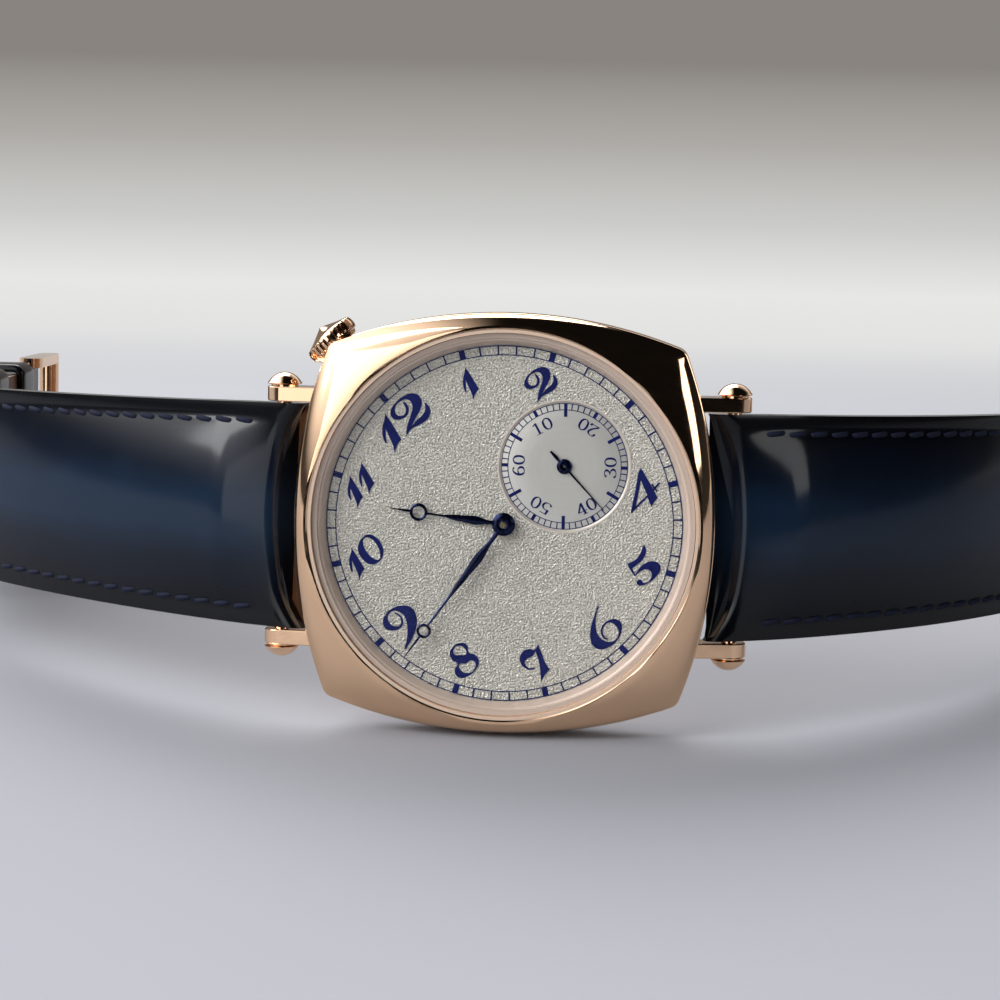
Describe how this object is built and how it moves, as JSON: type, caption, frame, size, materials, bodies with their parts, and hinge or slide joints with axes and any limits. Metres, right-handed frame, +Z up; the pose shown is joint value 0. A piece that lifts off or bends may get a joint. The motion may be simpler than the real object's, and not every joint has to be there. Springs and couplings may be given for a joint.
{
  "type": "hand-wound cushion case wristwatch",
  "caption": "Wristwatch with a cushion case, straight bar lugs, a crown on the case corner, a small seconds dial, open glass back and padded leather strap with a pin buckle.",
  "frame": {"origin": "middle of the bounding box at floor level, the watch standing on the lower side of its case and leaning back on its strap ends", "axes": "+Z up, -Y the way the dial faces, +X along the strap towards the long half"},
  "size_m": [0.149, 0.0964, 0.04],
  "materials": {
    "gold_case": "polished rose gold plate on steel",
    "glass": "clear, polished",
    "gasket": "pale, smooth",
    "dial": "fine frosted silver cream with printed numerals",
    "blued_hands": "polished dark blue",
    "nickel": "striped nickel plate",
    "steel": "polished",
    "brass_wheel": "polished",
    "ruby": "polished",
    "blued_screw": "polished heat blue",
    "leather": "glossy dark blue"
  },
  "bodies": {
    "watch_head": {"case_middle": "gold_case", "bezel": "gold_case", "crystal": "glass", "crystal_gasket": "gasket", "dial": "dial", "movement_holder": "nickel", "case_back": "gold_case", "back_glass": "glass", "back_gasket": "gasket", "crown_tube": "steel", "lug_caps": "gold_case", "mainplate": "nickel", "barrel_bridge": "nickel", "train_bridge": "nickel", "balance_cock": "nickel", "pallet_bridge": "nickel", "bridge_screws": "blued_screw", "jewels": "ruby", "hairspring": "steel", "crown_wheel_screw": "blued_screw", "click_screw": "blued_screw"},
    "seconds_work": {"fourth_wheel": "brass_wheel", "seconds_hand": "blued_hands"},
    "third_work": {"third_wheel": "brass_wheel"},
    "minutes_work": {"centre_wheel": "brass_wheel", "cannon_pinion": "steel", "minute_hand": "blued_hands"},
    "setting_work": {"minute_wheel": "brass_wheel"},
    "hours_work": {"hour_wheel": "brass_wheel", "hour_hand": "blued_hands"},
    "escape_work": {"escape_wheel": "steel"},
    "lever_work": {"pallet_fork": "steel", "pallet_stones": "ruby"},
    "balance_work": {"balance_wheel": "brass_wheel"},
    "barrel_work": {"barrel_drum": "brass_wheel", "barrel_cover": "brass_wheel", "mainspring": "steel"},
    "ratchet_work": {"ratchet_wheel": "steel", "barrel_arbor": "steel", "ratchet_screw": "blued_screw"},
    "crown_wheel_work": {"crown_wheel": "steel"},
    "click_work": {"click": "steel"},
    "stem_pinions": {"sliding_pinion": "steel", "winding_pinion": "steel"},
    "crown_and_stem": {"winding_stem": "steel", "crown": "gold_case"},
    "short_strap": {"strap_bar_short_side": "steel", "strap_short_half": "leather", "fixed_keeper": "leather", "buckle_bar": "steel"},
    "sliding_loop": {"free_keeper": "leather"},
    "buckle": {"buckle_frame": "gold_case"},
    "tang": {"buckle_tang": "gold_case"},
    "long_strap": {"strap_bar_long_side": "steel", "strap_long_half": "leather"}
  },
  "joints": [
    {"name": "seconds_turn", "type": "hinge", "parent": "watch_head", "child": "seconds_work", "pos_m": [-0.00428, -0.04179, 0.02556], "axis": [0, 0.9915, -0.13], "continuous": true},
    {"name": "third_wheel_turn", "type": "hinge", "parent": "watch_head", "child": "third_work", "pos_m": [-0.00851, -0.04045, 0.02498], "axis": [0, 0.9915, -0.13], "continuous": true},
    {"name": "minutes_turn", "type": "hinge", "parent": "watch_head", "child": "minutes_work", "pos_m": [-0.0099, -0.04252, 0.01999], "axis": [0, 0.9915, -0.13], "continuous": true},
    {"name": "minute_wheel_turn", "type": "hinge", "parent": "watch_head", "child": "setting_work", "pos_m": [-0.0104, -0.04289, 0.01718], "axis": [0, 0.9915, -0.13], "continuous": true},
    {"name": "hours_turn", "type": "hinge", "parent": "watch_head", "child": "hours_work", "pos_m": [-0.0099, -0.04351, 0.02012], "axis": [0, 0.9915, -0.13], "continuous": true},
    {"name": "escape_turn", "type": "hinge", "parent": "watch_head", "child": "escape_work", "pos_m": [-0.00247, -0.04081, 0.02227], "axis": [0, 0.9915, -0.13], "continuous": true},
    {"name": "barrel_turn", "type": "hinge", "parent": "watch_head", "child": "barrel_work", "pos_m": [-0.01641, -0.04184, 0.01751], "axis": [0, 0.9915, -0.13], "continuous": true},
    {"name": "lever_rock", "type": "hinge", "parent": "watch_head", "child": "lever_work", "pos_m": [-0.00231, -0.0412, 0.01929], "axis": [0, -0.9915, 0.13], "range_deg": [-5, 5]},
    {"name": "balance_swing", "type": "hinge", "parent": "watch_head", "child": "balance_work", "pos_m": [-0.00211, -0.04112, 0.01527], "axis": [0, -0.9915, 0.13], "range_deg": [-270, 270], "stiffness_Nm_per_rad": 0.0000005},
    {"name": "winding_turn", "type": "hinge", "parent": "watch_head", "child": "stem_pinions", "pos_m": [-0.01627, -0.0406, 0.02616], "axis": [-0.7071, 0.0919, 0.7011], "continuous": true},
    {"name": "crown_wheel_turn", "type": "hinge", "parent": "watch_head", "child": "crown_wheel_work", "pos_m": [-0.01485, -0.0389, 0.0245], "axis": [0, 0.9915, -0.13], "continuous": true},
    {"name": "ratchet_turn", "type": "hinge", "parent": "watch_head", "child": "ratchet_work", "pos_m": [-0.01641, -0.03985, 0.01725], "axis": [0, 0.9915, -0.13], "continuous": true},
    {"name": "crown_pull", "type": "slide", "parent": "stem_pinions", "child": "crown_and_stem", "axis": [-0.7071, 0.0919, 0.7011], "range_m": [0, 0.001]},
    {"name": "click_lift", "type": "hinge", "parent": "watch_head", "child": "click_work", "pos_m": [-0.01743, -0.04057, 0.01178], "axis": [0, -0.9915, 0.13], "range_deg": [0, 12]},
    {"name": "short_strap_swing", "type": "hinge", "parent": "watch_head", "child": "short_strap", "pos_m": [-0.0314, -0.04074, 0.01976], "axis": [0, 0.13, 0.9915], "range_deg": [-40, 25]},
    {"name": "long_strap_swing", "type": "hinge", "parent": "watch_head", "child": "long_strap", "pos_m": [0.0116, -0.04074, 0.01976], "axis": [0, -0.13, -0.9915], "range_deg": [-40, 25]},
    {"name": "buckle_swing", "type": "hinge", "parent": "short_strap", "child": "buckle", "pos_m": [-0.07007, 0.01895, 0.01193], "axis": [0, 0.13, 0.9915], "range_deg": [-70, 55]},
    {"name": "tang_swing", "type": "hinge", "parent": "buckle", "child": "tang", "pos_m": [-0.07007, 0.01895, 0.01193], "axis": [0, 0.13, 0.9915], "range_deg": [0, 70]},
    {"name": "loop_slide", "type": "slide", "parent": "short_strap", "child": "sliding_loop", "axis": [0, 0.9915, -0.13], "range_m": [0, 0.005]}
  ],
  "couplings": [
    {"joint": "third_wheel_turn", "follows": "seconds_turn", "ratio": -0.13333},
    {"joint": "minutes_turn", "follows": "seconds_turn", "ratio": 0.016667},
    {"joint": "minute_wheel_turn", "follows": "seconds_turn", "ratio": -0.0055556},
    {"joint": "hours_turn", "follows": "seconds_turn", "ratio": 0.0013889},
    {"joint": "escape_turn", "follows": "seconds_turn", "ratio": -10},
    {"joint": "barrel_turn", "follows": "seconds_turn", "ratio": -0.0027778},
    {"joint": "crown_wheel_turn", "follows": "winding_turn", "ratio": 0.42857},
    {"joint": "ratchet_turn", "follows": "winding_turn", "ratio": -0.3}
  ]
}
